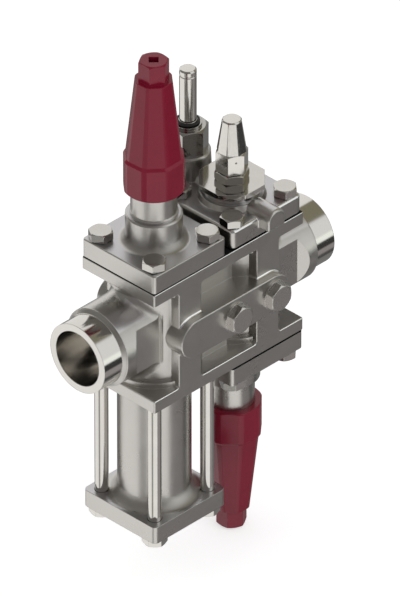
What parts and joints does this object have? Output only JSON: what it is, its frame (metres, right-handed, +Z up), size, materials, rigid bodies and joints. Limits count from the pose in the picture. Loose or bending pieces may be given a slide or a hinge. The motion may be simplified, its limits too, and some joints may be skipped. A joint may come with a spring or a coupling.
{
  "type": "valve station",
  "caption": "In-line valve station for a refrigerant pipe: cast body with screw-down stop valves, a bolted strainer cup and a pilot-operated solenoid valve, with butt-weld ends.",
  "frame": {"origin": "centre of the inlet weld end's face, on the pipe's axis", "axes": "+X along the flow to the outlet, +Z up along the upper stop valve's spindle"},
  "size_m": [0.2062, 0.0992, 0.385],
  "materials": {
    "cast_steel": "satin",
    "fibre": "matte",
    "machined_steel": "satin",
    "o_ring": "matte",
    "packing": "matte",
    "polished_steel": "polished",
    "red_cap": "satin",
    "screen_mesh": "satin",
    "seal_plastic": "satin",
    "spring_steel": "satin"
  },
  "bodies": {
    "station": {"valve_body": "cast_steel", "upper_bonnet": "cast_steel", "upper_bonnet_bolts": "polished_steel", "upper_bonnet_gasket": "fibre", "upper_seat": "machined_steel", "upper_stem_packing": "packing", "upper_packing_gland": "machined_steel", "lower_bonnet": "cast_steel", "lower_bonnet_bolts": "polished_steel", "lower_bonnet_gasket": "fibre", "lower_seat": "machined_steel", "lower_stem_packing": "packing", "lower_packing_gland": "machined_steel", "filter_housing": "cast_steel", "filter_bolts": "polished_steel", "filter_gasket": "fibre", "screen_top_ring": "machined_steel", "filter_screen": "screen_mesh", "screen_bottom_ring": "machined_steel", "filter_spring": "spring_steel", "solenoid_cover": "cast_steel", "solenoid_cover_bolts": "polished_steel", "solenoid_cover_gasket": "fibre", "main_seat": "machined_steel", "piston_cylinder": "machined_steel", "main_spring": "spring_steel", "spindle_gland": "polished_steel", "spindle_o_ring": "o_ring", "lock_nut": "polished_steel", "tube_nut": "polished_steel", "tube_o_ring": "o_ring", "armature_tube": "polished_steel", "pilot_orifice": "machined_steel", "armature_spring": "spring_steel", "middle_plug": "polished_steel", "middle_plug_washer": "machined_steel", "end_plug": "polished_steel", "end_plug_washer": "machined_steel"},
    "upper_cone_group": {"upper_cone": "machined_steel", "upper_cone_seal": "seal_plastic"},
    "upper_spindle_body": {"upper_spindle": "machined_steel"},
    "upper_cap_carrier": {"upper_cap_gasket": "fibre"},
    "upper_cap_body": {"upper_cap": "red_cap"},
    "lower_cone_group": {"lower_cone": "machined_steel", "lower_cone_seal": "seal_plastic"},
    "lower_spindle_body": {"lower_spindle": "machined_steel"},
    "lower_cap_carrier": {"lower_cap_gasket": "fibre"},
    "lower_cap_body": {"lower_cap": "red_cap"},
    "piston_body": {"main_piston": "machined_steel", "piston_ring": "seal_plastic"},
    "armature_body": {"armature": "machined_steel"},
    "collar_body": {"lift_collar": "machined_steel"},
    "manual_spindle_body": {"manual_spindle": "machined_steel"},
    "manual_cap_carrier": {"manual_cap_gasket": "fibre"},
    "manual_cap_body": {"manual_cap": "polished_steel"}
  },
  "joints": [
    {"name": "upper_spindle_lift", "type": "slide", "parent": "station", "child": "upper_cone_group", "axis": [0, 0, 1], "range_m": [0, 0.008]},
    {"name": "upper_spindle_turn", "type": "hinge", "parent": "upper_cone_group", "child": "upper_spindle_body", "pos_m": [0.0683, 0, 0], "axis": [0, 0, 1], "range_deg": [0, 1444]},
    {"name": "upper_cap_lift", "type": "slide", "parent": "station", "child": "upper_cap_carrier", "axis": [0, 0, 1], "range_m": [0, 0.012]},
    {"name": "upper_cap_turn", "type": "hinge", "parent": "upper_cap_carrier", "child": "upper_cap_body", "pos_m": [0.0683, 0, 0], "axis": [0, 0, 1], "range_deg": [0, 2888]},
    {"name": "lower_spindle_lift", "type": "slide", "parent": "station", "child": "lower_cone_group", "axis": [0, 0, -1], "range_m": [0, 0.008]},
    {"name": "lower_spindle_turn", "type": "hinge", "parent": "lower_cone_group", "child": "lower_spindle_body", "pos_m": [0.1379, 0, 0], "axis": [0, 0, -1], "range_deg": [0, 1444]},
    {"name": "lower_cap_lift", "type": "slide", "parent": "station", "child": "lower_cap_carrier", "axis": [0, 0, -1], "range_m": [0, 0.012]},
    {"name": "lower_cap_turn", "type": "hinge", "parent": "lower_cap_carrier", "child": "lower_cap_body", "pos_m": [0.1379, 0, 0], "axis": [0, 0, -1], "range_deg": [0, 2888]},
    {"name": "piston_lift", "type": "slide", "parent": "station", "child": "piston_body", "axis": [0, 0, 1], "range_m": [0, 0.006], "stiffness_N_per_m": 1500, "springref_m": -0.005, "deforming": ["main_spring"]},
    {"name": "armature_lift", "type": "slide", "parent": "station", "child": "armature_body", "axis": [0, 0, 1], "range_m": [0, 0.0025], "stiffness_N_per_m": 500, "springref_m": -0.004, "deforming": ["armature_spring"]},
    {"name": "manual_spindle_lift", "type": "slide", "parent": "station", "child": "collar_body", "axis": [0, 0, 1], "range_m": [0, 0.0075]},
    {"name": "manual_spindle_turn", "type": "hinge", "parent": "collar_body", "child": "manual_spindle_body", "pos_m": [0.1379, 0, 0], "axis": [0, 0, 1], "range_deg": [0, 1805]},
    {"name": "manual_cap_lift", "type": "slide", "parent": "station", "child": "manual_cap_carrier", "axis": [0, 0, 1], "range_m": [0, 0.0075]},
    {"name": "manual_cap_turn", "type": "hinge", "parent": "manual_cap_carrier", "child": "manual_cap_body", "pos_m": [0.1379, 0, 0], "axis": [0, 0, 1], "range_deg": [0, 1805]}
  ],
  "couplings": [
    {"joint": "upper_spindle_turn", "follows": "upper_spindle_lift", "rad_per_m": 3141.6},
    {"joint": "upper_cap_turn", "follows": "upper_cap_lift", "rad_per_m": 4188.8},
    {"joint": "lower_spindle_turn", "follows": "lower_spindle_lift", "rad_per_m": 3141.6},
    {"joint": "lower_cap_turn", "follows": "lower_cap_lift", "rad_per_m": 4188.8},
    {"joint": "manual_spindle_turn", "follows": "manual_spindle_lift", "rad_per_m": 4188.8},
    {"joint": "manual_cap_turn", "follows": "manual_cap_lift", "rad_per_m": 4188.8}
  ]
}
